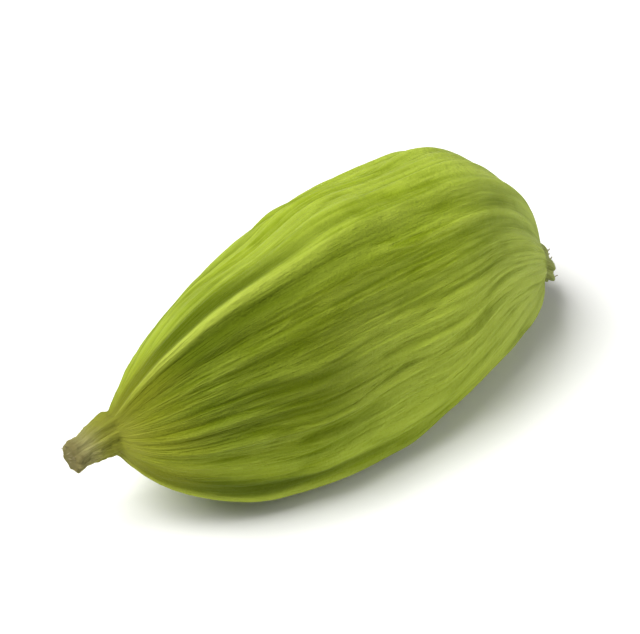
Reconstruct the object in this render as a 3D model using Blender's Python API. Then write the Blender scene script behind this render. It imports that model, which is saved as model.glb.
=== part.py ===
"""A dried green cardamom pod, lying on one of its three faces.

The pod is one piece: a three-sided husk with raised ribs, the stub of its stalk at -X and the
short beak of the withered flower at +X. Metres, +Z up, origin at the middle of the box's floor.
"""

import math

import bmesh
import bpy
from mathutils import Matrix, Vector

MM = 0.001

# Lengths along the pod, from the stalk's cut end to the tip of the beak.
STALK_LENGTH = 1.5 * MM
HUSK_LENGTH = 15.7 * MM
BEAK_LENGTH = 0.5 * MM
POD_LENGTH = STALK_LENGTH + HUSK_LENGTH + BEAK_LENGTH

# The husk's outline. It is widest nearer to the beak at +Y, and nearer to the stalk at -Y.
HUSK_RADIUS = 3.69 * MM
WIDEST_AT = 0.425
WIDEST_SWING = 0.11
WIDEST_SWING_TOWARDS = math.radians(12)
TAPER_TO_STALK = 1.33
TAPER_TO_BEAK = 0.795

# The husk's section: three rounded ridges, a little unevenly spaced and slightly twisted from end
# to end, with flatter faces between, gathered into small folds where it closes at the beak.
RIDGES = 3
TOP_RIDGE_AT = math.radians(101)
UNEVEN_RIDGES = math.radians(2.4)
TWIST = math.radians(2)
RIDGE_WAVES = (0.108, 0.032, 0.011)
FOLDS = 9
FOLD_DEPTH = 0.10
FOLD_REACH = 0.10

# Relief on the husk: lengthwise ribs, unevenly spaced and strongest beside the ridges, a cord with
# a groove on both sides of it along each ridge, and swells over the seeds. The cord and its grooves
# fade towards the beak, and the grooves are wider and deeper towards the stalk. The waves are counted
# round the pod, and a start says how far on a wave begins.
RIBS = 24
RIB_HEIGHT = 0.15 * MM
RIB_HEIGHT_ON_FACES = 0.55
RIB_UNEVENNESS = 0.32
RIB_UNEVEN_WAVES = 5.0
RIB_UNEVEN_START = 1.3
RIB_SPACING = 1.3
RIB_SPACING_WAVES = 4.0
RIB_SPACING_START = 0.6
RIB_SHARPNESS = 1.2
RIB_WANDER = 0.6
RIB_WANDER_WAVES = 2.0
RIDGE_NARROWNESS = 3.0
CORD_HEIGHT = 0.30 * MM
CORD_WIDTH = 0.11
CORD_GROOVE = 0.80
CORD_GROOVE_WIDTH = 0.31
CORD_GROOVE_FLARE = 0.7
CORD_FADE = 1.3
SEED_SWELL = 0.12 * MM
SEED_ROWS = 3.1
SEED_ROWS_START = 0.9
SEED_WAVES = 2.0
SEED_WAVES_START = 0.6

# The stalk's stub and the beak, which run into the husk over their fade lengths.
STALK_RADIUS = 0.38 * MM
STALK_KNOB = 0.15
STALK_KNOB_LENGTH = 0.55 * MM
STALK_FLUTES = 8
STALK_FLUTE_DEPTH = 0.07
COLLAR = 0.24 * MM
COLLAR_LENGTH = 0.7 * MM
STALK_FADE = 0.9 * MM
STALK_DROOP = 0.45 * MM
STALK_DROOP_LENGTH = 4.0 * MM
BEAK_RADIUS = 0.72 * MM
BEAK_FADE = 0.8 * MM
BEAK_ROUNDING = 0.40 * MM
BEAK_DROOP = 2.4 * MM
BEAK_DROOP_LENGTH = 4.0 * MM
END_ROUNDING = 0.26 * MM
END_SQUARENESS = 2.4
END_DISH = 0.16 * MM
END_DISH_RADIUS = 0.22 * MM
BLEND_POWER = 2.6

# How the pod lies: tipped a little, with a flat spot pressed into its belly where ribs fade out.
PITCH = math.radians(0.4)
FLAT_DEPTH = 0.32 * MM
FLAT_TOWARDS = math.radians(258)
FLAT_HALF_ANGLE = math.radians(38)
FLAT_CENTRE = 0.50
FLAT_HALF_SHARE = 0.30

# The mesh: sides round the pod, and rings along it, which are closer together near both ends.
SIDES = 120
RINGS = 42
RING_CROWDING = 0.72

HUSK_GREEN = (0.27, 0.33, 0.04, 1.0)
HUSK_ROUGHNESS = 0.62
SHARP_FROM = math.radians(60)


def bump(offset, half_width):
    """A round hump: 1 at no offset, falling smoothly to 0."""
    return math.exp(-((offset / half_width) ** 2))


def plateau(offset, half_width):
    """1 in the middle of a zone, falling quickly to 0 outside its half width."""
    return math.exp(-((offset / half_width) ** 4))


def end_rounding(distance, length):
    """0 at a pole, rising to 1 where the rounded end, of that length, meets the straight side."""
    share = min(distance / length, 1.0)
    return (1.0 - (1.0 - share) ** END_SQUARENESS) ** (1.0 / END_SQUARENESS)


def husk_outline(share, angle):
    """The husk's radius without ridges, from 0 at both ends to about HUSK_RADIUS."""
    widest = WIDEST_AT + WIDEST_SWING * math.cos(angle - WIDEST_SWING_TOWARDS)
    rise = (share / widest) ** (TAPER_TO_STALK * widest)
    fall = ((1.0 - share) / (1.0 - widest)) ** (TAPER_TO_BEAK * (1.0 - widest))
    return HUSK_RADIUS * rise * fall


def section(share, turned):
    """The husk's three-sided section, as a share of its outline, with the folds at the beak."""
    ridges = sum(
        height * math.cos(RIDGES * order * turned) for order, height in enumerate(RIDGE_WAVES, start=1)
    )
    folds = FOLD_DEPTH * math.cos(FOLDS * turned) * bump(1.0 - share, FOLD_REACH)
    return 1.0 + ridges + folds


def relief(share, angle, turned):
    """How far ribs, cords and seed swells stand out of the husk where it is widest."""
    from_flat = (angle - FLAT_TOWARDS + math.pi) % math.tau - math.pi
    resting = plateau(from_flat, FLAT_HALF_ANGLE) * plateau(share - FLAT_CENTRE, FLAT_HALF_SHARE)
    near_ridge = abs(math.cos(RIDGES * turned / 2.0)) ** RIDGE_NARROWNESS
    on_face = 1.0 - near_ridge
    strength = RIB_HEIGHT_ON_FACES + (1.0 - RIB_HEIGHT_ON_FACES) * near_ridge
    strength += RIB_UNEVENNESS * math.sin(RIB_UNEVEN_WAVES * turned + RIB_UNEVEN_START) * on_face
    wander = RIB_WANDER * math.sin(math.tau * share + RIB_WANDER_WAVES * turned)
    wander += RIB_SPACING * math.sin(RIB_SPACING_WAVES * turned + RIB_SPACING_START)
    crest = 1.0 - abs(math.sin((RIBS * turned + wander * on_face) / 2.0)) ** RIB_SHARPNESS
    from_ridge = math.sin(RIDGES * turned / 2.0)
    flare = 1.0 + CORD_GROOVE_FLARE * (1.0 - share) ** 2
    groove = CORD_GROOVE * flare * bump(from_ridge, CORD_GROOVE_WIDTH * flare)
    cord = (bump(from_ridge, CORD_WIDTH) - groove) * (1.0 - share) ** CORD_FADE
    swell = math.sin(math.tau * SEED_ROWS * share + SEED_ROWS_START)
    swell *= math.cos(SEED_WAVES * angle + SEED_WAVES_START)
    raised = RIB_HEIGHT * strength * crest + CORD_HEIGHT * cord
    return raised * (1.0 - resting) + SEED_SWELL * swell


def stalk_radius(x, turned):
    """The stub's radius: a fluted knob at the cut end, a neck, and a collar that meets the husk."""
    radius = STALK_RADIUS * (1.0 + STALK_KNOB * bump(x, STALK_KNOB_LENGTH))
    radius += COLLAR * bump(x - STALK_LENGTH, COLLAR_LENGTH)
    radius *= 1.0 + STALK_FLUTE_DEPTH * math.cos(STALK_FLUTES * turned)
    return radius * math.exp(-max(x - STALK_LENGTH, 0.0) / STALK_FADE) * end_rounding(x, END_ROUNDING)


def beak_radius(from_tip):
    fade = math.exp(-max(from_tip - BEAK_LENGTH, 0.0) / BEAK_FADE)
    return BEAK_RADIUS * fade * end_rounding(from_tip, BEAK_ROUNDING)


def pod_point(along, turned):
    """A point on the pod's skin: along runs from 0 to 1, and turned is the angle from the top ridge."""
    x = POD_LENGTH * (along - RING_CROWDING * math.sin(math.tau * along) / math.tau)
    from_tip = POD_LENGTH - x
    share = min(max((x - STALK_LENGTH) / HUSK_LENGTH, 0.0), 1.0)
    angle = TOP_RIDGE_AT + turned + UNEVEN_RIDGES * math.cos(turned)
    angle += TWIST * (share - 0.5)
    outline = husk_outline(share, angle)
    husk = outline * (section(share, turned) + relief(share, angle, turned) / HUSK_RADIUS)
    pieces = (husk, stalk_radius(x, turned), beak_radius(from_tip))
    radius = sum(piece**BLEND_POWER for piece in pieces) ** (1.0 / BLEND_POWER)
    droop = STALK_DROOP * max(1.0 - x / STALK_DROOP_LENGTH, 0.0) ** 2
    droop += BEAK_DROOP * max(1.0 - from_tip / BEAK_DROOP_LENGTH, 0.0) ** 2
    inwards = END_DISH if x < POD_LENGTH / 2.0 else -END_DISH
    dished = x + inwards * bump(radius, END_DISH_RADIUS)
    return Vector((dished, radius * math.cos(angle), radius * math.sin(angle) - droop))


def lay_down(bm):
    """Tips the pod, cuts its flat spot, and puts the middle of the box's floor at the origin."""
    bmesh.ops.transform(bm, matrix=Matrix.Rotation(PITCH, 4, "Y"), verts=bm.verts)
    floor = min(vert.co.z for vert in bm.verts) + FLAT_DEPTH
    cut = bmesh.ops.bisect_plane(
        bm,
        geom=bm.verts[:] + bm.edges[:] + bm.faces[:],
        plane_co=(0.0, 0.0, floor),
        plane_no=(0.0, 0.0, 1.0),
        clear_inner=True,
    )
    rim = [edge for edge in cut["geom_cut"] if isinstance(edge, bmesh.types.BMEdge)]
    bmesh.ops.holes_fill(bm, edges=rim, sides=0)
    xs = [vert.co.x for vert in bm.verts]
    ys = [vert.co.y for vert in bm.verts]
    middle = Vector(((min(xs) + max(xs)) / 2.0, (min(ys) + max(ys)) / 2.0, floor))
    bmesh.ops.translate(bm, vec=-middle, verts=bm.verts)


def husk_material():
    material = bpy.data.materials.new("husk")
    material.use_nodes = True
    shader = material.node_tree.nodes["Principled BSDF"]
    shader.inputs["Base Color"].default_value = HUSK_GREEN
    shader.inputs["Roughness"].default_value = HUSK_ROUGHNESS
    shader.inputs["Metallic"].default_value = 0.0
    return material


def make_pod(collection):
    """A UV sphere whose points are moved onto the pod's skin, so its poles are the pod's two ends."""
    bm = bmesh.new()
    bmesh.ops.create_uvsphere(bm, u_segments=SIDES, v_segments=RINGS, radius=1.0)
    for vert in bm.verts:
        along = math.acos(max(-1.0, min(1.0, -vert.co.z))) / math.pi
        turned = math.atan2(vert.co.y, vert.co.x)
        vert.co = pod_point(along, turned)
    lay_down(bm)
    bmesh.ops.recalc_face_normals(bm, faces=bm.faces)
    mesh = bpy.data.meshes.new("cardamom_pod")
    bm.to_mesh(mesh)
    bm.free()
    mesh.shade_smooth()
    mesh.set_sharp_from_angle(angle=SHARP_FROM)
    mesh.materials.append(husk_material())
    pod = bpy.data.objects.new("cardamom_pod", mesh)
    collection.objects.link(pod)


def main():
    for old in list(bpy.data.objects):
        bpy.data.objects.remove(old, do_unlink=True)
    collection = bpy.data.collections.new("green_cardamom")
    bpy.context.scene.collection.children.link(collection)
    make_pod(collection)


main()
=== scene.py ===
import math
from types import SimpleNamespace

import bpy
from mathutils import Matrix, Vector


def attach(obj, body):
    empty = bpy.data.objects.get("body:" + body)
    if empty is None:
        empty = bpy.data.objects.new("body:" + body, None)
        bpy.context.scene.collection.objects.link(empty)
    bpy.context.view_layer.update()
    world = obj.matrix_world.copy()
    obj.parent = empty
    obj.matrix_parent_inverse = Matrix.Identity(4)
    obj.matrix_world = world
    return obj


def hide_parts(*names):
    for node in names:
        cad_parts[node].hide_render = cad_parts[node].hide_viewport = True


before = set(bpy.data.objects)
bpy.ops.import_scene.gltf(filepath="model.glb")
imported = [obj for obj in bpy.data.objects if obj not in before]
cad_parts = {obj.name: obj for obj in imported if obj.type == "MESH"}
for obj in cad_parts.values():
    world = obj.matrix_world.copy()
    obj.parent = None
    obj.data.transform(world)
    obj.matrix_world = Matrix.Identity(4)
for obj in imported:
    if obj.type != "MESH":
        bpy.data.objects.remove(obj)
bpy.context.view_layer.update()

mm = 0.001


def linear(colour):  # 0 to 255 as a picture editor gives it, to the values that a shader takes
    shares = [part / 255 for part in colour]
    return tuple(s / 12.92 if s <= 0.04045 else ((s + 0.055) / 1.055) ** 2.4 for s in shares) + (1.0,)


class Field:  # a value that runs through a node tree, so that a rule reads as it does on paper
    def __init__(self, tree, socket):
        self.tree = tree
        self.socket = socket

    def __add__(self, other):
        return maths("ADD", self, other)

    def __radd__(self, other):
        return maths("ADD", other, self)

    def __sub__(self, other):
        return maths("SUBTRACT", self, other)

    def __rsub__(self, other):
        return maths("SUBTRACT", other, self)

    def __mul__(self, other):
        return maths("MULTIPLY", self, other)

    def __rmul__(self, other):
        return maths("MULTIPLY", other, self)

    def __truediv__(self, other):
        return maths("DIVIDE", self, other)

    def __rtruediv__(self, other):
        return maths("DIVIDE", other, self)

    def __pow__(self, other):
        return maths("POWER", self, other)

    def __neg__(self):
        return maths("MULTIPLY", self, -1.0)


def feed(tree, value, socket):
    if isinstance(value, Field):
        tree.links.new(value.socket, socket)
    else:
        socket.default_value = value


def treeOf(*values):
    return next(value.tree for value in values if isinstance(value, Field))


def maths(operation, *values):
    tree = treeOf(*values)
    node = tree.nodes.new("ShaderNodeMath")
    node.operation = operation
    for value, socket in zip(values, node.inputs):
        feed(tree, value, socket)
    return Field(tree, node.outputs[0])


def sine(value):
    return maths("SINE", value)


def cosine(value):
    return maths("COSINE", value)


def size(value):  # without its sign
    return maths("ABSOLUTE", value)


def exponent(value):
    return maths("EXPONENT", value)


def atLeast(value, limit):
    return maths("MAXIMUM", value, limit)


def atMost(value, limit):
    return maths("MINIMUM", value, limit)


def hump(offset, halfWidth):  # 1 at no offset, falling smoothly to 0
    share = offset / halfWidth
    return exponent(-(share * share))


def plateau(offset, halfWidth):  # 1 in the middle of a zone, falling quickly to 0 outside it
    share = offset / halfWidth
    return exponent(-(size(share) ** 4.0))


def rise(value, low, high):  # 0 below low, 1 above high, smooth between
    tree = treeOf(value)
    node = tree.nodes.new("ShaderNodeMapRange")
    node.interpolation_type = "SMOOTHSTEP"
    feed(tree, value, node.inputs["Value"])
    feed(tree, low, node.inputs["From Min"])
    feed(tree, high, node.inputs["From Max"])
    return Field(tree, node.outputs["Result"])


def vector(x, y, z):
    tree = treeOf(x, y, z)
    node = tree.nodes.new("ShaderNodeCombineXYZ")
    for value, socket in zip((x, y, z), node.inputs):
        feed(tree, value, socket)
    return Field(tree, node.outputs[0])


def parts(value):
    node = value.tree.nodes.new("ShaderNodeSeparateXYZ")
    feed(value.tree, value, node.inputs[0])
    return [Field(value.tree, socket) for socket in node.outputs]


def noise(place, scale, seed, detail=2.0, roughness=0.5):  # about -1 to 1
    node = place.tree.nodes.new("ShaderNodeTexNoise")
    node.noise_dimensions = "4D"
    feed(place.tree, place, node.inputs["Vector"])
    feed(place.tree, scale, node.inputs["Scale"])
    feed(place.tree, seed, node.inputs["W"])
    node.inputs["Detail"].default_value = detail
    node.inputs["Roughness"].default_value = roughness
    return Field(place.tree, node.outputs[0]) * 2.0 - 1.0


def blendColour(factor, first, second):
    tree = treeOf(factor, first, second)
    node = tree.nodes.new("ShaderNodeMix")
    node.data_type = "RGBA"
    feed(tree, factor, node.inputs[0])
    feed(tree, first, node.inputs[6])
    feed(tree, second, node.inputs[7])
    return Field(tree, node.outputs[2])


# Geometry trees

def newTree(name, sizes):  # a tree with one named input for each size
    tree = bpy.data.node_groups.new(name, "GeometryNodeTree")
    for key, value in sizes.items():
        kind = "NodeSocketInt" if isinstance(value, int) else "NodeSocketFloat"
        tree.interface.new_socket(name=key, in_out="INPUT", socket_type=kind)
    tree.interface.new_socket(name="Geometry", in_out="OUTPUT", socket_type="NodeSocketGeometry")
    start = tree.nodes.new("NodeGroupInput")
    fields = {key: Field(tree, start.outputs[key]) for key in sizes}
    return tree, SimpleNamespace(**fields)


def geometryNode(tree, kind, **inputs):
    node = tree.nodes.new(kind)
    for name, value in inputs.items():
        feed(tree, value, node.inputs[name.replace("_", " ")])
    return node


def output(node, name="Geometry"):
    return Field(node.id_data, node.outputs[name])


def storeOn(geometry, name, value, kind="FLOAT"):
    node = geometryNode(geometry.tree, "GeometryNodeStoreNamedAttribute", Geometry=geometry, Name=name)
    node.data_type = kind
    feed(geometry.tree, value, node.inputs["Value"])
    return output(node)


def finishTree(geometry, material):  # realised and painted, as the export needs
    tree = geometry.tree
    whole = output(geometryNode(tree, "GeometryNodeRealizeInstances", Geometry=geometry))
    painted = geometryNode(tree, "GeometryNodeSetMaterial", Geometry=whole, Material=material)
    end = tree.nodes.new("NodeGroupOutput")
    tree.links.new(painted.outputs["Geometry"], end.inputs["Geometry"])


def growPiece(name, tree, sizes):  # runs the tree once and keeps the result as a plain mesh
    piece = bpy.data.objects.new(name, bpy.data.meshes.new(name + "Start"))
    bpy.context.scene.collection.objects.link(piece)
    modifier = piece.modifiers.new("grow", "NODES")
    modifier.node_group = tree
    for item in tree.interface.items_tree:
        if item.in_out == "INPUT":
            modifier[item.identifier] = sizes[item.name]
    bpy.context.view_layer.update()
    grown = piece.evaluated_get(bpy.context.evaluated_depsgraph_get())
    mesh = bpy.data.meshes.new_from_object(grown)
    piece.modifiers.remove(modifier)
    piece.data = mesh
    mesh.name = name
    return piece


# The pod

# The pod's own shape, from the stalk's cut end to the tip of the beak. Waves are counted round the
# pod, and a start says how far on a wave begins.
podShape = {
    "sides": 480,
    "rings": 204,
    "ringCrowding": 0.42,
    "stalkLength": 1.5 * mm,
    "huskLength": 15.7 * mm,
    "beakLength": 0.5 * mm,
    "huskRadius": 3.69 * mm,
    "widestAt": 0.425,
    "widestSwing": 0.11,
    "widestSwingTowards": math.radians(12),
    "taperToStalk": 1.33,
    "taperToBeak": 0.795,
    "ridges": 3.0,
    "ridgeNarrowness": 3.0,
    "topRidgeAt": math.radians(101),
    "unevenRidges": math.radians(2.4),
    "twist": math.radians(2),
    "ridgeWave": 0.108,
    "ridgeWaveTwice": 0.032,
    "ridgeWaveThrice": 0.011,
    "folds": 9.0,
    "foldDepth": 0.10,
    "foldReach": 0.10,
    "ribs": 24.0,
    "ribHeight": 0.15 * mm,
    "ribHeightOnFaces": 0.55,
    "ribUnevenness": 0.32,
    "ribUnevenWaves": 5.0,
    "ribUnevenStart": 1.3,
    "ribSpacing": 1.3,
    "ribSpacingWaves": 4.0,
    "ribSpacingStart": 0.6,
    "ribSharpness": 1.2,
    "ribWander": 0.6,
    "ribWanderWaves": 2.0,
    "cordHeight": 0.30 * mm,
    "cordWidth": 0.11,
    "cordGroove": 0.80,
    "cordGrooveWidth": 0.31,
    "cordGrooveFlare": 0.7,
    "cordFade": 1.3,
    "seedSwell": 0.12 * mm,
    "seedRows": 3.1,
    "seedRowsStart": 0.9,
    "seedWaves": 2.0,
    "seedWavesStart": 0.6,
    "stalkRadius": 0.38 * mm,
    "stalkKnob": 0.15,
    "stalkKnobLength": 0.55 * mm,
    "stalkFlutes": 8.0,
    "stalkFluteDepth": 0.07,
    "collar": 0.24 * mm,
    "collarLength": 0.7 * mm,
    "stalkFade": 0.9 * mm,
    "stalkDroop": 0.45 * mm,
    "stalkDroopLength": 4.0 * mm,
    "beakRadius": 0.72 * mm,
    "beakFade": 0.8 * mm,
    "beakRounding": 0.40 * mm,
    "beakDroop": 2.4 * mm,
    "beakDroopLength": 4.0 * mm,
    "endRounding": 0.26 * mm,
    "endSquareness": 2.4,
    "endDish": 0.16 * mm,
    "endDishRadius": 0.22 * mm,
    "blendPower": 2.6,
    "pitch": math.radians(0.4),
    "flatDepth": 0.32 * mm,
    "flatTowards": math.radians(258),
    "flatHalfAngle": math.radians(38),
    "flatCentre": 0.50,
    "flatHalfShare": 0.30,
}

# What a dried skin adds between and across its ribs: creases, fibres, wrinkles, dents and grain.
# Round and Along say how fine a pattern is, round the pod and for each metre along it.
podSkin = {
    "seed": 11.0,
    "ribNoise": 0.9,
    "ribNoiseRound": 5.0,
    "ribNoiseAlong": 230.0,
    "ribNoiseWander": 1.1,
    "ribNoiseWanderRound": 3.2,
    "ribNoiseWanderAlong": 150.0,
    "cordNoise": 0.5,
    "cordNoiseRound": 1.5,
    "cordNoiseAlong": 420.0,
    "creaseHeight": 0.11 * mm,
    "creaseRound": 2.3,
    "creaseAlong": 90.0,
    "creaseThinness": 3.5,
    "creaseLossOnRidges": 0.7,
    "pinchDepth": 0.07 * mm,
    "pinchRound": 4.0,
    "pinchAlong": 170.0,
    "pinchThinness": 5.0,
    "fibreHeight": 0.055 * mm,
    "fibreRound": 14.0,
    "fibreAlong": 120.0,
    "fibreThinness": 3.0,
    "fibreEvenness": 0.7,
    "fibrePatchiness": 0.9,
    "threadHeight": 0.032 * mm,
    "threadRound": 27.0,
    "threadAlong": 240.0,
    "threadThinness": 2.5,
    "wrinkleHeight": 0.060 * mm,
    "wrinkleRound": 4.94,
    "wrinkleAlong": 2600.0,
    "wrinklePatchRound": 5.0,
    "wrinklePatchAlong": 500.0,
    "wrinkleLossOnCrests": 0.65,
    "dentDepth": 0.13 * mm,
    "dentRound": 1.216,
    "dentAlong": 320.0,
    "grainHeight": 0.020 * mm,
    "grainRound": 34.0,
    "grainAlong": 1500.0,
    "skinDrop": 0.055 * mm,
    "fineFade": 0.45,
    "endWrinkle": 0.10 * mm,
    "endWrinkleSize": 9.0,
    "dishNoise": 0.8,
    "dishNoiseSize": 7.0,
    "stalkRoughness": 0.03 * mm,
    "stalkRoughRound": 2.2,
    "stalkRoughAlong": 1600.0,
    "stalkRings": 2.2,
    "stalkRingHeight": 0.03 * mm,
    "stalkRingThinness": 5.0,
    "stalkRingWander": 1.5,
    "stalkFibreHeight": 0.045 * mm,
    "stalkFibreRound": 2.6,
    "stalkFibreAlong": 420.0,
    "stalkFibreThinness": 3.0,
    "beakRoughness": 0.048 * mm,
    "beakRoughRound": 2.6,
    "beakRoughAlong": 1500.0,
    "beakFlutes": 7.0,
    "beakFluteDepth": 0.10,
    "beakFluteWander": 1.5,
    "beakDish": 0.30 * mm,
    "beakDishRadius": 0.42 * mm,
}


def endRounding(distance, length, p):
    share = atMost(distance / length, 1.0)
    return (1.0 - (1.0 - share) ** p.endSquareness) ** (1.0 / p.endSquareness)


def huskOutline(share, angle, p):
    widest = p.widestAt + p.widestSwing * cosine(angle - p.widestSwingTowards)
    climb = (share / widest) ** (p.taperToStalk * widest)
    fall = ((1.0 - share) / (1.0 - widest)) ** (p.taperToBeak * (1.0 - widest))
    return p.huskRadius * climb * fall


def huskSection(share, turned, p):
    ridges = p.ridgeWave * cosine(p.ridges * turned)
    ridges = ridges + p.ridgeWaveTwice * cosine(2.0 * p.ridges * turned)
    ridges = ridges + p.ridgeWaveThrice * cosine(3.0 * p.ridges * turned)
    folds = p.foldDepth * cosine(p.folds * turned) * hump(1.0 - share, p.foldReach)
    return 1.0 + ridges + folds


def skinPlace(turned, x, roundScale, alongScale):  # a place on the skin that closes round the pod
    return vector(cosine(turned) * roundScale, sine(turned) * roundScale, x * alongScale)


def skinNoise(turned, x, p, roundScale, alongScale, draw, detail=2.0, roughness=0.5):
    place = skinPlace(turned, x, roundScale, alongScale)
    return noise(place, 1.0, p.seed + draw, detail, roughness)


def skinLines(turned, x, p, roundScale, alongScale, draw, thinness):  # 1 on thin lines, 0 between
    wandering = skinNoise(turned, x, p, roundScale, alongScale, draw)
    return atLeast(1.0 - thinness * size(wandering), 0.0)


def huskRibs(share, turned, x, nearRidge, p):  # how near a crest a place is, and the rib's strength
    onFace = 1.0 - nearRidge
    strength = p.ribHeightOnFaces + (1.0 - p.ribHeightOnFaces) * nearRidge
    uneven = sine(p.ribUnevenWaves * turned + p.ribUnevenStart)
    strength = strength + p.ribUnevenness * uneven * onFace
    wander = p.ribWander * sine(math.tau * share + p.ribWanderWaves * turned)
    wander = wander + p.ribSpacing * sine(p.ribSpacingWaves * turned + p.ribSpacingStart)
    drift = skinNoise(turned, x, p, p.ribNoiseWanderRound, p.ribNoiseWanderAlong, 0.0)
    wander = wander + p.ribNoiseWander * drift
    wave = size(sine((p.ribs * turned + wander * onFace) / 2.0))
    return 1.0 - wave ** p.ribSharpness, strength


def huskCord(share, turned, x, p):  # the cord along each ridge, and the groove on both sides of it
    fromRidge = sine(p.ridges * turned / 2.0)
    uneven = 1.0 + p.cordNoise * skinNoise(turned, x, p, p.cordNoiseRound, p.cordNoiseAlong, 4.0, 3.0)
    lively = (1.0 - share) ** p.cordFade
    flare = 1.0 + p.cordGrooveFlare * (1.0 - share) ** 2.0
    cord = hump(fromRidge, p.cordWidth) * uneven * lively
    groove = hump(fromRidge, p.cordGrooveWidth * flare) * flare * lively
    return cord, groove


def huskRelief(share, angle, turned, x, p):  # the relief in two sizes, and what the colours follow
    nearRidge = size(cosine(p.ridges * turned / 2.0)) ** p.ridgeNarrowness
    crest, strength = huskRibs(share, turned, x, nearRidge, p)
    cord, groove = huskCord(share, turned, x, p)
    patchy = skinNoise(turned, x, p, p.ribNoiseRound, p.ribNoiseAlong, 3.0)
    crease = skinLines(turned, x, p, p.creaseRound, p.creaseAlong, 5.0, p.creaseThinness)
    pinch = skinLines(turned, x, p, p.pinchRound, p.pinchAlong, 6.0, p.pinchThinness)
    fibre = skinLines(turned, x, p, p.fibreRound, p.fibreAlong, 7.0, p.fibreThinness)
    thread = skinLines(turned, x, p, p.threadRound, p.threadAlong, 8.0, p.threadThinness)
    across = skinNoise(turned, x, p, p.wrinkleRound, p.wrinkleAlong, 9.0, 3.0)
    patch = skinNoise(turned, x, p, p.wrinklePatchRound, p.wrinklePatchAlong, 11.0)
    wrinkle = across * rise(patch, -0.3, 0.5)
    dent = skinNoise(turned, x, p, p.dentRound, p.dentAlong, 13.0, 1.0)
    grain = skinNoise(turned, x, p, p.grainRound, p.grainAlong, 17.0, 3.0, 0.6)

    standing = p.ribHeight * strength * crest * (1.0 + p.ribNoise * patchy)
    standing = standing + p.cordHeight * (cord - p.cordGroove * groove)
    creased = p.creaseHeight * crease - p.pinchDepth * pinch
    standing = standing + creased * (1.0 - p.creaseLossOnRidges * nearRidge)
    standing = standing + p.wrinkleHeight * wrinkle * (1.0 - p.wrinkleLossOnCrests * crest)
    standing = standing + p.dentDepth * dent - p.skinDrop
    fromFlat = maths("ARCCOSINE", cosine(angle - p.flatTowards))
    resting = plateau(fromFlat, p.flatHalfAngle) * plateau(share - p.flatCentre, p.flatHalfShare)
    swell = sine(math.tau * p.seedRows * share + p.seedRowsStart)
    swell = swell * cosine(p.seedWaves * angle + p.seedWavesStart)
    raised = standing * (1.0 - resting) + p.seedSwell * swell
    fine = p.fibreHeight * fibre * (p.fibreEvenness + p.fibrePatchiness * patchy)
    fine = (fine + p.threadHeight * thread) * (1.0 - resting) + p.grainHeight * grain
    seen = {
        "crest": crest * strength,
        "cord": cord,
        "hollow": rise(0.25 * (1.0 - crest) - 0.8 * wrinkle - 0.20 * fibre + 0.5 * pinch, 0.0, 1.0),
        "sunk": atLeast(groove - 1.5 * cord, 0.0),
        "vein": 0.5 * fibre + 0.3 * thread + 0.4 * crease - 0.4 * pinch,
    }
    return raised, fine, seen


def stalkRadius(x, turned, p):
    radius = p.stalkRadius * (1.0 + p.stalkKnob * hump(x, p.stalkKnobLength))
    radius = radius + p.collar * hump(x - p.stalkLength, p.collarLength)
    radius = radius * (1.0 + p.stalkFluteDepth * cosine(p.stalkFlutes * turned))
    rough = skinNoise(turned, x, p, p.stalkRoughRound, p.stalkRoughAlong, 21.0, 3.0)
    scars = sine(math.tau * p.stalkRings * x / p.stalkLength + p.stalkRingWander * rough)
    radius = radius + p.stalkRingHeight * scars ** p.stalkRingThinness + p.stalkRoughness * rough
    fibre = skinLines(turned, x, p, p.stalkFibreRound, p.stalkFibreAlong, 23.0, p.stalkFibreThinness)
    radius = radius + p.stalkFibreHeight * fibre
    fade = exponent(-atLeast(x - p.stalkLength, 0.0) / p.stalkFade)
    return radius * fade * endRounding(x, p.endRounding, p)


def beakRadius(fromTip, turned, x, p):
    rough = skinNoise(turned, x, p, p.beakRoughRound, p.beakRoughAlong, 25.0, 3.0)
    flutes = cosine(p.beakFlutes * turned + p.beakFluteWander * rough)
    radius = p.beakRadius * (1.0 + p.beakFluteDepth * flutes) + p.beakRoughness * rough
    fade = exponent(-atLeast(fromTip - p.beakLength, 0.0) / p.beakFade)
    return radius * fade * endRounding(fromTip, p.beakRounding, p)


def layDown(shaped, p):  # over the middle of its box, with its underside cut off flat
    tree = shaped.tree
    box = geometryNode(tree, "GeometryNodeBoundBox", Geometry=shaped)
    low, high = parts(output(box, "Min")), parts(output(box, "Max"))
    here = parts(Field(tree, tree.nodes.new("GeometryNodeInputPosition").outputs[0]))
    laid = vector(
        here[0] - (low[0] + high[0]) / 2.0,
        here[1] - (low[1] + high[1]) / 2.0,
        atLeast(here[2] - low[2] - p.flatDepth, 0.0),
    )
    return output(geometryNode(tree, "GeometryNodeSetPosition", Geometry=shaped, Position=laid))


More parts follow.
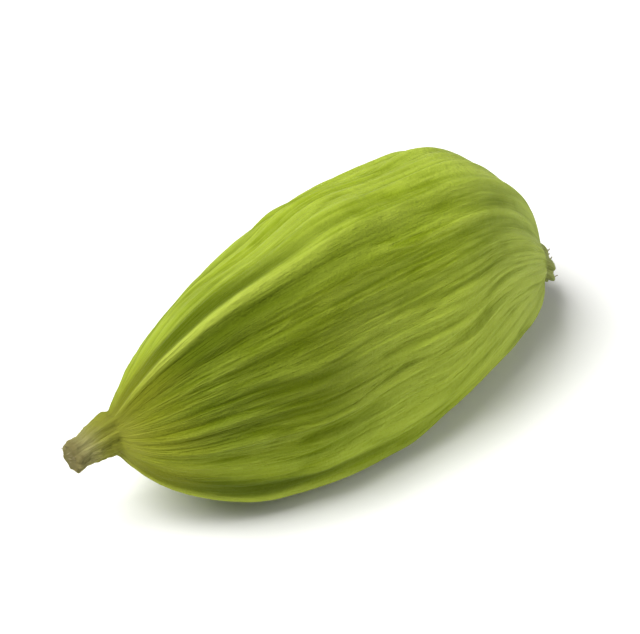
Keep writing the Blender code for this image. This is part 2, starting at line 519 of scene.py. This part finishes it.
def podTree(sizes, material):  # a ball whose points are moved onto the skin, its poles the two ends
    tree, p = newTree("cardamomPod", sizes)
    ball = geometryNode(tree, "GeometryNodeMeshUVSphere", Segments=p.sides, Rings=p.rings)
    ball.inputs["Radius"].default_value = 1.0
    place = Field(tree, tree.nodes.new("GeometryNodeInputPosition").outputs[0])
    ballX, ballY, ballZ = parts(place)
    along = maths("ARCCOSINE", atMost(atLeast(-ballZ, -1.0), 1.0)) / math.pi
    turned = maths("ARCTAN2", ballY, ballX)

    podLength = p.stalkLength + p.huskLength + p.beakLength
    x = podLength * (along - p.ringCrowding * sine(math.tau * along) / math.tau)
    fromTip = podLength - x
    share = atMost(atLeast((x - p.stalkLength) / p.huskLength, 0.0), 1.0)
    angle = p.topRidgeAt + turned + p.unevenRidges * cosine(turned)
    angle = angle + p.twist * (share - 0.5)
    outline = huskOutline(share, angle, p)
    fullness = outline / p.huskRadius
    raised, fine, seen = huskRelief(share, angle, turned, x, p)
    husk = outline * (huskSection(share, turned, p) + raised / p.huskRadius)
    husk = husk + fine * fullness ** p.fineFade
    endNoise = noise(place, p.endWrinkleSize, p.seed + 33.0, 3.0)
    husk = husk + p.endWrinkle * endNoise * (1.0 - fullness)

    stalk = stalkRadius(x, turned, p)
    beak = beakRadius(fromTip, turned, x, p)
    powers = [atLeast(piece, 0.0) ** p.blendPower for piece in (husk, stalk, beak)]
    total = powers[0] + powers[1] + powers[2]
    radius = total ** (1.0 / p.blendPower)
    stalkDrop = atLeast(1.0 - x / p.stalkDroopLength, 0.0) ** 2.0
    beakDrop = atLeast(1.0 - fromTip / p.beakDroopLength, 0.0) ** 2.0
    dishGrain = 1.0 + p.dishNoise * noise(place, p.dishNoiseSize, p.seed + 31.0, 3.0)
    atStalk = maths("GREATER_THAN", podLength / 2.0, x)
    stalkDish = p.endDish * hump(radius, p.endDishRadius) * dishGrain
    beakDish = p.beakDish * hump(radius, p.beakDishRadius) * dishGrain
    podX = x + stalkDish * atStalk - beakDish * (1.0 - atStalk)
    podY = radius * cosine(angle)
    podZ = radius * sine(angle) - p.stalkDroop * stalkDrop - p.beakDroop * beakDrop
    lengthwise = podX * cosine(p.pitch) + podZ * sine(p.pitch)
    upright = podZ * cosine(p.pitch) - podX * sine(p.pitch)

    geometry = output(ball, "Mesh")
    small = atLeast(total, 1e-20)
    seen.update(share=share, along=x / mm, stalkShare=powers[1] / small, beakShare=powers[2] / small)
    for name, value in seen.items():
        geometry = storeOn(geometry, name, value)
    geometry = storeOn(geometry, "skin", skinPlace(turned, x, 1.0, 1.0 / mm), "FLOAT_VECTOR")
    spot = vector(lengthwise, podY, upright)
    shaped = output(geometryNode(tree, "GeometryNodeSetPosition", Geometry=geometry, Position=spot))
    finishTree(layDown(shaped, p), material)
    return tree


# Loose fibres: what is left standing where the stalk was cut and where the flower withered. The two
# reaches say how far from each end they grow, in millimetres.
endFibres = {
    "seed": 5,
    "density": 36.0e6,
    "fibreLength": 0.10 * mm,
    "fibreThickness": 0.014 * mm,
    "fibreTaper": 0.75,
    "fibreSteps": 5,
    "fibreSides": 5,
    "fibreRoot": 0.15,
    "fibreKink": 0.1,
    "fibreBend": 0.5,
    "fibreLean": 0.7,
    "shortest": 0.5,
    "longest": 1.15,
    "stalkReach": 0.10,
    "beakReach": 0.12,
}


def fibreStrand(tree, p):  # one bent, tapering fibre, standing on its root
    strand = tree.nodes.new("GeometryNodeCurveQuadraticBezier")
    feed(tree, p.fibreSteps, strand.inputs["Resolution"])
    feed(tree, vector(0.0, 0.0, -p.fibreLength * p.fibreRoot), strand.inputs["Start"])
    feed(tree, vector(p.fibreLength * p.fibreKink, 0.0, p.fibreLength / 2.0), strand.inputs["Middle"])
    feed(tree, vector(p.fibreLength * p.fibreBend, 0.0, p.fibreLength), strand.inputs["End"])
    factor = Field(tree, tree.nodes.new("GeometryNodeSplineParameter").outputs["Factor"])
    width = 1.0 - p.fibreTaper * factor
    thin = geometryNode(tree, "GeometryNodeSetCurveRadius", Curve=output(strand, "Curve"), Radius=width)
    ring = geometryNode(tree, "GeometryNodeCurvePrimitiveCircle", Resolution=p.fibreSides)
    feed(tree, p.fibreThickness, ring.inputs["Radius"])
    tube = geometryNode(
        tree, "GeometryNodeCurveToMesh", Curve=output(thin, "Curve"), Profile_Curve=output(ring, "Curve")
    )
    feed(tree, True, tube.inputs["Fill Caps"])
    return output(tube, "Mesh")


def randomTurn(tree, lean, seed):  # a small random lean, and any turn round the fibre's own length
    angles = tree.nodes.new("FunctionNodeRandomValue")
    angles.data_type = "FLOAT_VECTOR"
    feed(tree, vector(-lean, -lean, -math.pi), angles.inputs[0])
    feed(tree, vector(lean, lean, math.pi), angles.inputs[1])
    feed(tree, seed, angles.inputs["Seed"])
    turn = geometryNode(tree, "FunctionNodeEulerToRotation")
    feed(tree, Field(tree, angles.outputs[0]), turn.inputs["Euler"])
    return output(turn, "Rotation")


def randomLength(tree, p):
    lengths = tree.nodes.new("FunctionNodeRandomValue")
    feed(tree, p.shortest, lengths.inputs[2])
    feed(tree, p.longest, lengths.inputs[3])
    feed(tree, p.seed, lengths.inputs["Seed"])
    return Field(tree, lengths.outputs[1])


def fibreTree(sizes, pod, material):
    tree, p = newTree("endFibres", sizes)
    source = geometryNode(tree, "GeometryNodeObjectInfo", Object=pod)
    along = geometryNode(tree, "GeometryNodeInputNamedAttribute", Name="along")
    here = output(along, "Attribute")
    podLength = (podShape["stalkLength"] + podShape["huskLength"] + podShape["beakLength"]) / mm
    atStalk = maths("LESS_THAN", here, p.stalkReach)
    atBeak = maths("GREATER_THAN", here, podLength - p.beakReach)
    scatter = geometryNode(tree, "GeometryNodeDistributePointsOnFaces", Mesh=output(source), Seed=p.seed)
    feed(tree, p.density * atMost(atStalk + atBeak, 1.0), scatter.inputs["Density"])

    turned = geometryNode(tree, "FunctionNodeRotateRotation", Rotation=output(scatter, "Rotation"))
    feed(tree, randomTurn(tree, p.fibreLean, p.seed), turned.inputs["Rotate By"])
    turned.rotation_space = "LOCAL"
    strands = geometryNode(tree, "GeometryNodeInstanceOnPoints", Points=output(scatter, "Points"))
    feed(tree, fibreStrand(tree, p), strands.inputs["Instance"])
    feed(tree, output(turned, "Rotation"), strands.inputs["Rotation"])
    feed(tree, randomLength(tree, p), strands.inputs["Scale"])
    finishTree(output(strands, "Instances"), material)
    return tree


# Materials

def newMaterial(name):
    material = bpy.data.materials.new(name)
    material.use_nodes = True
    tree = material.node_tree
    return material, tree, tree.nodes["Principled BSDF"]


def attribute(tree, name, socket="Fac"):
    node = tree.nodes.new("ShaderNodeAttribute")
    node.attribute_name = name
    return Field(tree, node.outputs[socket])


def thinLine(place, seed, thinness):  # 1 on thin lines, 0 between them
    return atLeast(1.0 - thinness * size(noise(place, 1.0, seed, 1.0)), 0.0)


# The husk's colours, how fine their patterns are, and how strongly each coat shows, from 0 to 1. The
# angles say which way from the top ridge the painted shade, the painted top light and the painted low
# light face.
huskLook = {
    "deepGreen": (98, 115, 2),
    "green": (144, 165, 18),
    "paleGreen": (180, 196, 76),
    "yellowGreen": (164, 170, 26),
    "ridge": (170, 183, 72),
    "stalkOlive": (138, 140, 34),
    "beakGrey": (178, 192, 96),
    "shadeGreen": (76, 90, 0),
    "neck": (158, 158, 64),
    "stalkTan": (182, 176, 116),
    "stalkDark": (122, 112, 66),
    "beakTan": (176, 186, 114),
    "speck": (112, 104, 36),
    "streakRound": 9.0,
    "streakAlong": 0.22,
    "fibreRound": 40.0,
    "fibreAlong": 0.8,
    "threadRound": 20.0,
    "threadAlong": 0.5,
    "threadThinness": 6.0,
    "blotchFineness": 230.0,
    "yellowingFineness": 120.0,
    "fleckFineness": 2600.0,
    "poreFineness": 6500.0,
    "yellowing": 0.50,
    "shadeTowards": math.radians(45),
    "shade": 0.88,
    "lowTowards": math.radians(74),
    "lowPaling": 0.50,
    "upperTowards": math.radians(-35),
    "upperPaling": 0.20,
    "beakPaling": 0.72,
    "fibrePaling": 0.28,
    "ribPaling": 0.20,
    "veinPaling": 0.32,
    "threadPaling": 0.36,
    "palingLossInShade": 0.50,
    "hollowShade": 0.50,
    "grooveShade": 0.90,
    "cordPaling": 0.80,
    "stalkOliving": 0.60,
    "specks": 0.50,
    "neckTan": 0.70,
    "neckPores": 0.40,
    "cutEndShade": 0.70,
    "beakTipTan": 0.75,
    "roughness": 0.66,
    "specular": 0.08,
    "glow": 0.05,
    "glowReach": Vector((0.7, 1.0, 0.2)),
    "glowDepth": 0.25 * mm,
    "bumpStrength": 0.9,
    "bumpDistance": 0.09 * mm,
}


def huskPatterns(tree, look):
    skinX, skinY, skinZ = parts(attribute(tree, "skin", "Vector"))
    where = Field(tree, tree.nodes.new("ShaderNodeTexCoord").outputs["Object"])

    def drawnOut(roundScale, alongScale):  # a place on the skin, for patterns that run along the pod
        return vector(skinX * roundScale, skinY * roundScale, skinZ * alongScale)

    def facing(towards):  # 1 where the skin's turn from the top ridge is that angle, -1 opposite it
        return math.cos(towards) * skinX + math.sin(towards) * skinY

    streak = noise(drawnOut(look.streakRound, look.streakAlong), 1.0, 2.0, 4.0, 0.6)
    blotch = noise(where, look.blotchFineness, 6.0, 4.0, 0.6)
    thread = thinLine(drawnOut(look.threadRound, look.threadAlong), 14.0, look.threadThinness)
    return SimpleNamespace(
        streak=streak,
        blotch=blotch,
        fibre=noise(drawnOut(look.fibreRound, look.fibreAlong), 1.0, 4.0, 4.0, 0.7),
        thread=thread * rise(streak + blotch, -0.5, 0.4),
        yellow=noise(where, look.yellowingFineness, 9.0, 2.0, 0.5),
        fleck=noise(where, look.fleckFineness, 8.0, 3.0, 0.65),
        pore=noise(where, look.poreFineness, 12.0, 3.0, 0.7),
        shadeSide=facing(look.shadeTowards),
        # which way the skin faces, for the painted shade, the painted light low on the front face and
        # the painted light on the top strip
        paintedLightLowSide=facing(look.lowTowards),
        paintedLightTopSide=facing(look.upperTowards),
    )


def paints(settings):  # the colours among the settings, as a shader takes them
    colours = {name: linear(value) for name, value in settings.items() if isinstance(value, tuple)}
    return SimpleNamespace(**colours)


def coat(body, amount, colour):  # lays a colour over the colours so far
    return blendColour(amount, body, colour)


def huskGreens(look, paint, at, seen):  # the green of the husk, coat by coat, with painted shade and painted light among the coats
    mottle = rise(at.streak * 0.8 + at.blotch * 0.7, -0.5, 0.6)
    body = blendColour(mottle, paint.deepGreen, paint.green)
    body = coat(body, rise(at.yellow + 0.5 * at.streak, 0.05, 0.7) * look.yellowing, paint.yellowGreen)
    shaded = rise(at.shadeSide + 0.22 * at.streak + 0.25 * at.blotch, 0.50, 1.0)
    shaded = shaded * rise(0.85 - seen.share + 0.10 * at.blotch, 0.0, 0.5)
    body = coat(body, shaded * look.shade, paint.shadeGreen)
    # painted light: the low side of the front face, towards the beak, is made paler where light falls on
    # it
    paintedLowLight = rise(at.paintedLightLowSide + 0.08 * at.streak, 0.66, 0.96)
    paintedLowLight = paintedLowLight * rise(seen.share - 0.30 + 0.08 * at.blotch, 0.0, 0.24)
    body = coat(body, paintedLowLight * look.lowPaling, paint.paleGreen)
    # painted light: the strip behind the top ridge is made paler where the lamp's light falls on it
    paintedTopLight = rise(at.paintedLightTopSide + 0.10 * at.streak, 0.68, 1.0)
    body = coat(body, paintedTopLight * look.upperPaling, paint.paleGreen)
    toBeak = seen.share - 0.66 + 0.15 * at.streak + 0.06 * at.blotch + 0.06 * at.fibre
    body = coat(body, rise(toBeak, 0.0, 0.34) * look.beakPaling, paint.beakGrey)

    pales = 1.0 - look.palingLossInShade * shaded
    fibres = rise(at.fibre + 0.4 * at.streak, -0.05, 0.6) * look.fibrePaling
    veins = rise(seen.vein + 0.25 * at.fibre, 0.15, 0.85) * look.veinPaling
    for amount in (fibres, seen.lit * look.ribPaling, veins, at.thread * look.threadPaling):
        body = coat(body, amount * pales, paint.paleGreen)
    body = coat(body, seen.hollow * look.hollowShade, paint.deepGreen)
    return coat(body, rise(seen.sunk + 0.2 * at.fibre, 0.1, 0.7) * look.grooveShade, paint.shadeGreen)


def huskEnds(body, look, paint, at, seen):  # the cords, and how the husk turns to stalk and to beak
    cord = rise(seen.cord + 0.35 * at.fibre + 0.2 * at.blotch, 0.10, 0.9)
    body = coat(body, cord * rise(0.80 - seen.share, 0.0, 0.45) * look.cordPaling, paint.ridge)
    toStalk = rise(0.16 - seen.share + 0.05 * at.streak, 0.0, 0.16)
    body = coat(body, toStalk * look.stalkOliving, paint.stalkOlive)
    body = coat(body, rise(at.fleck + 0.35 * at.blotch, 0.50, 0.72) * look.specks, paint.speck)
    neck = rise(2.1 - seen.along + 0.5 * at.fibre + 0.4 * at.blotch, 0.0, 1.1)
    body = coat(body, neck * look.neckTan, paint.neck)
    body = coat(body, neck * rise(at.pore + 0.6 * at.fleck, 0.0, 0.6) * look.neckPores, paint.stalkDark)
    grain = rise(at.fibre + 0.5 * at.fleck + 0.4 * at.blotch, -0.6, 0.3)
    woody = blendColour(grain, paint.stalkDark, paint.stalkTan)
    cutEnd = rise(0.5 - seen.along + 0.3 * at.blotch, 0.0, 0.5)
    woody = coat(woody, cutEnd * look.cutEndShade, paint.stalkDark)
    body = coat(body, rise(1.15 - seen.along + 0.5 * at.fibre + 0.3 * at.blotch, 0.0, 0.9), woody)
    tip = blendColour(rise(at.fibre, -0.6, 0.3), paint.speck, paint.beakTan)
    return coat(body, rise(seen.beakShare + 0.25 * at.fibre, 0.45, 1.0) * look.beakTipTan, tip)


def huskMaterial(settings):
    material, tree, shader = newMaterial("cardamomHusk")
    look, paint = SimpleNamespace(**settings), paints(settings)
    names = ("crest", "cord", "hollow", "sunk", "vein", "share", "along", "stalkShare", "beakShare")
    seen = SimpleNamespace(**{name: attribute(tree, name) for name in names})
    at = huskPatterns(tree, look)
    seen.lit = rise(0.8 * seen.crest + 0.35 * at.fibre, 0.20, 1.0)
    body = huskEnds(huskGreens(look, paint, at, seen), look, paint, at, seen)
    feed(tree, body, shader.inputs["Base Color"])

    rough = look.roughness + 0.12 * at.fibre - 0.06 * seen.lit
    rough = rough + 0.10 * seen.hollow + 0.15 * seen.stalkShare
    feed(tree, rough, shader.inputs["Roughness"])
    shader.inputs["Specular IOR Level"].default_value = look.specular
    shader.inputs["Subsurface Weight"].default_value = look.glow
    shader.inputs["Subsurface Radius"].default_value = look.glowReach
    shader.inputs["Subsurface Scale"].default_value = look.glowDepth

    bump = tree.nodes.new("ShaderNodeBump")
    bump.inputs["Strength"].default_value = look.bumpStrength
    bump.inputs["Distance"].default_value = look.bumpDistance
    height = at.fibre * 0.5 + at.pore * 0.4 + at.fleck * 0.3 + at.thread * 0.3
    feed(tree, height, bump.inputs["Height"])
    tree.links.new(bump.outputs["Normal"], shader.inputs["Normal"])
    return material


fibreLook = {
    "dark": (104, 94, 58),
    "pale": (176, 168, 122),
    "mottleFineness": 4200.0,
    "roughness": 0.75,
    "specular": 0.20,
}


def fibreMaterial(look):
    material, tree, shader = newMaterial("dryFibre")
    where = Field(tree, tree.nodes.new("ShaderNodeTexCoord").outputs["Object"])
    mottle = rise(noise(where, look["mottleFineness"], 3.0, 2.0), -0.5, 0.5)
    colour = blendColour(mottle, linear(look["dark"]), linear(look["pale"]))
    feed(tree, colour, shader.inputs["Base Color"])
    shader.inputs["Roughness"].default_value = look["roughness"]
    shader.inputs["Specular IOR Level"].default_value = look["specular"]
    return material


# Stage and camera

stageLook = {
    "floor": (248, 248, 246),
    "floorSide": 1.2,
    "floorRoughness": 0.9,
    "floorSpecular": 0.1,
    "world": 0.20,
    "keyPower": 3.7,
    "keySide": 0.35,
    "keyAt": Vector((-0.205, 0.100, 0.40)),
    "fillPower": 0.62,
    "fillSide": 0.25,
    "fillAt": Vector((0.34, -0.22, 0.16)),
}


def floorMaterial(look):
    material, tree, shader = newMaterial("paleFloor")
    shader.inputs["Base Color"].default_value = linear(look["floor"])
    shader.inputs["Roughness"].default_value = look["floorRoughness"]
    shader.inputs["Specular IOR Level"].default_value = look["floorSpecular"]
    return material


def makeFloor(look):
    half = look["floorSide"] / 2
    corners = [(-half, -half, 0), (half, -half, 0), (half, half, 0), (-half, half, 0)]
    mesh = bpy.data.meshes.new("floor")
    mesh.from_pydata(corners, [], [(0, 1, 2, 3)])
    mesh.materials.append(floorMaterial(look))
    floor = bpy.data.objects.new("floor", mesh)
    bpy.context.scene.collection.objects.link(floor)


def makeLight(name, power, side, spot):
    light = bpy.data.lights.new(name, "AREA")
    light.energy = power
    light.size = side
    lamp = bpy.data.objects.new(name, light)
    lamp.location = spot
    lamp.rotation_euler = (-spot).to_track_quat("-Z", "Y").to_euler()
    bpy.context.scene.collection.objects.link(lamp)


def makeWorld(look):
    world = bpy.data.worlds.new("studio")
    world.use_nodes = True
    background = world.node_tree.nodes["Background"]
    background.inputs["Color"].default_value = (1.0, 1.0, 1.0, 1.0)
    background.inputs["Strength"].default_value = look["world"]
    bpy.context.scene.world = world


cameraLook = {
    "azimuth": math.radians(-36.5),
    "elevation": math.radians(44),
    "lens": 760.0,
    "sensor": 36.0,
    "nearest": 0.005,
    "furthest": 10.0,
    "distance": 0.40,
    "aim": Vector((0.0004, -0.0003, 0.0035)),
}


def makeCamera(look):
    lens = bpy.data.cameras.new("camera")
    lens.lens = look["lens"]
    lens.sensor_width = look["sensor"]
    lens.clip_start = look["nearest"]
    lens.clip_end = look["furthest"]
    camera = bpy.data.objects.new("camera", lens)
    turn, lift = look["azimuth"], look["elevation"]
    back = Vector((math.sin(turn) * math.cos(lift), -math.cos(turn) * math.cos(lift), math.sin(lift)))
    camera.location = look["aim"] + back * look["distance"]
    camera.rotation_euler = (-back).to_track_quat("-Z", "Y").to_euler()
    bpy.context.scene.collection.objects.link(camera)
    bpy.context.scene.camera = camera


makeFloor(stageLook)
makeWorld(stageLook)
makeLight("key", stageLook["keyPower"], stageLook["keySide"], stageLook["keyAt"])
makeLight("fill", stageLook["fillPower"], stageLook["fillSide"], stageLook["fillAt"])
makeCamera(cameraLook)
bpy.context.scene.view_settings.view_transform = "Standard"
print("stage, lights and camera are set")

podSizes = podShape | podSkin
pod = growPiece("podHusk", podTree(podSizes, huskMaterial(huskLook)), podSizes)
pod.data.shade_smooth()
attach(pod, "root")
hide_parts("cardamom_pod")
print("pod grown:", len(pod.data.polygons), "faces")

fibres = growPiece("endFibres", fibreTree(endFibres, pod, fibreMaterial(fibreLook)), endFibres)
fibres.data.shade_smooth()
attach(fibres, "root")
print("fibres grown:", len(fibres.data.polygons), "faces")
